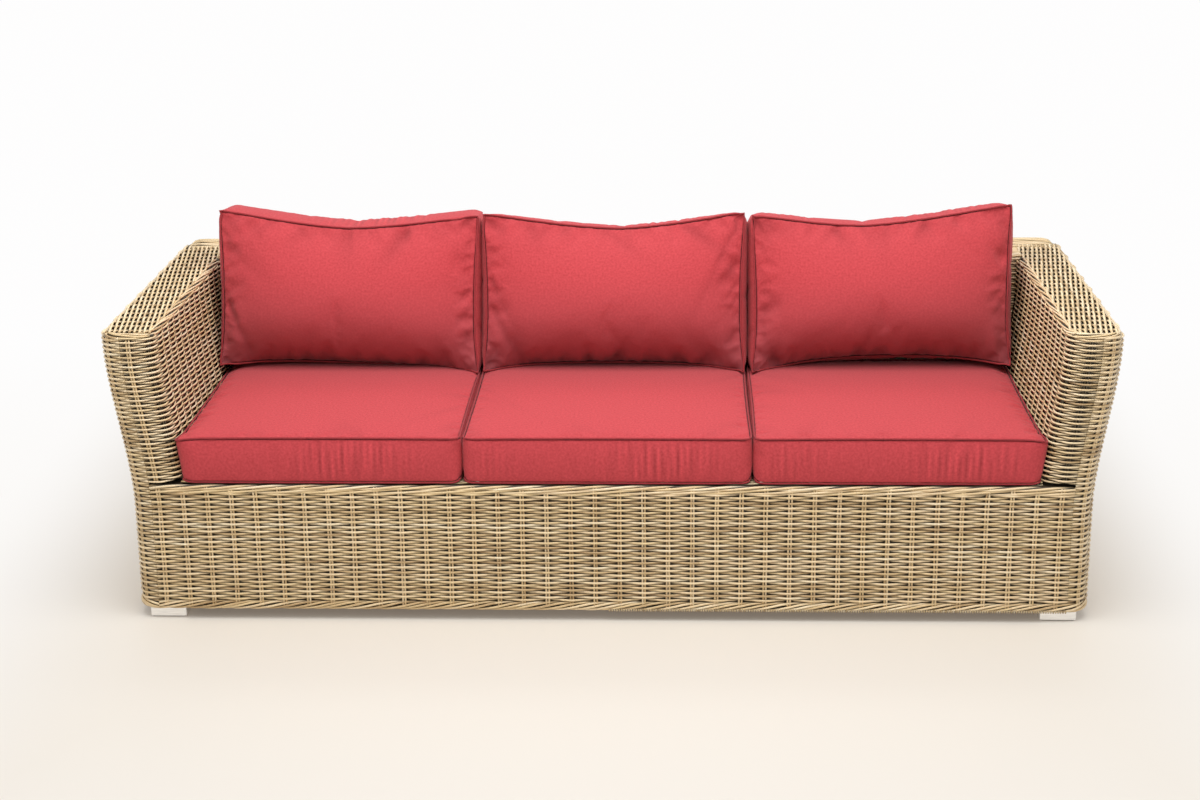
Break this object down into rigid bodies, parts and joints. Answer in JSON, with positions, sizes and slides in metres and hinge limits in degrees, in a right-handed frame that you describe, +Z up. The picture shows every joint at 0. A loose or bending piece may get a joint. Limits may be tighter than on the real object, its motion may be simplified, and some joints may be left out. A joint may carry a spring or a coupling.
{
  "type": "garden sofa",
  "caption": "Woven cane garden sofa with flared arms, flat metal feet, loose box seat cushions and leaning loose back cushions.",
  "frame": {"origin": "on the floor, midway between the two ends and midway between front and back", "axes": "+X to the right along the sofa as seen from the front, +Y from the front apron to the backrest, +Z up"},
  "size_m": [2.188, 0.905, 0.7818],
  "materials": {
    "cane": "satin",
    "frame": "satin",
    "foot": "satin",
    "glide": "matte",
    "cover": "matte",
    "core": "matte"
  },
  "bodies": {
    "frame": {"front_apron_weave": "cane", "right_side_weave": "cane", "left_side_weave": "cane", "right_arm_inner_weave": "cane", "left_arm_inner_weave": "cane", "right_arm_top_weave": "cane", "left_arm_top_weave": "cane", "back_outer_weave": "cane", "back_inner_weave": "cane", "back_top_weave": "cane", "seat_deck_weave": "cane", "right_front_post": "frame", "right_rear_post": "frame", "right_inner_front_post": "frame", "right_inner_rear_post": "frame", "left_front_post": "frame", "left_rear_post": "frame", "left_inner_front_post": "frame", "left_inner_rear_post": "frame", "front_lower_rail": "frame", "rear_lower_rail": "frame", "right_lower_rail": "frame", "left_lower_rail": "frame", "right_apron_post": "frame", "left_apron_post": "frame", "front_seat_rail": "frame", "rear_seat_rail": "frame", "right_seat_side_rail": "frame", "left_seat_side_rail": "frame", "back_support_rail": "frame", "right_seat_cross_member": "frame", "left_seat_cross_member": "frame", "right_arm_outer_rail": "frame", "left_arm_outer_rail": "frame", "right_arm_inner_rail": "frame", "left_arm_inner_rail": "frame", "back_outer_rail": "frame", "back_inner_rail": "frame", "right_backrest_upright": "frame", "left_backrest_upright": "frame", "front_right_foot": "foot", "front_left_foot": "foot", "rear_right_foot": "foot", "rear_left_foot": "foot", "front_right_glide": "glide", "front_left_glide": "glide", "rear_right_glide": "glide", "rear_left_glide": "glide"},
    "left_seat_cushion": {"left_seat_cushion_cover": "cover", "left_seat_cushion_core": "core"},
    "middle_seat_cushion": {"middle_seat_cushion_cover": "cover", "middle_seat_cushion_core": "core"},
    "right_seat_cushion": {"right_seat_cushion_cover": "cover", "right_seat_cushion_core": "core"},
    "left_back_cushion": {"left_back_cushion_cover": "cover", "left_back_cushion_core": "core"},
    "middle_back_cushion": {"middle_back_cushion_cover": "cover", "middle_back_cushion_core": "core"},
    "right_back_cushion": {"right_back_cushion_cover": "cover", "right_back_cushion_core": "core"}
  },
  "joints": [
    {"name": "left_seat_cushion_lift", "type": "slide", "parent": "frame", "child": "left_seat_cushion", "axis": [0, 0, 1], "range_m": [0, 0.48]},
    {"name": "middle_seat_cushion_lift", "type": "slide", "parent": "frame", "child": "middle_seat_cushion", "axis": [0, 0, 1], "range_m": [0, 0.48]},
    {"name": "right_seat_cushion_lift", "type": "slide", "parent": "frame", "child": "right_seat_cushion", "axis": [0, 0, 1], "range_m": [0, 0.48]},
    {"name": "left_back_cushion_lift", "type": "slide", "parent": "left_seat_cushion", "child": "left_back_cushion", "axis": [0, 0, 1], "range_m": [0, 0.38]},
    {"name": "middle_back_cushion_lift", "type": "slide", "parent": "middle_seat_cushion", "child": "middle_back_cushion", "axis": [0, 0, 1], "range_m": [0, 0.38]},
    {"name": "right_back_cushion_lift", "type": "slide", "parent": "right_seat_cushion", "child": "right_back_cushion", "axis": [0, 0, 1], "range_m": [0, 0.38]}
  ]
}
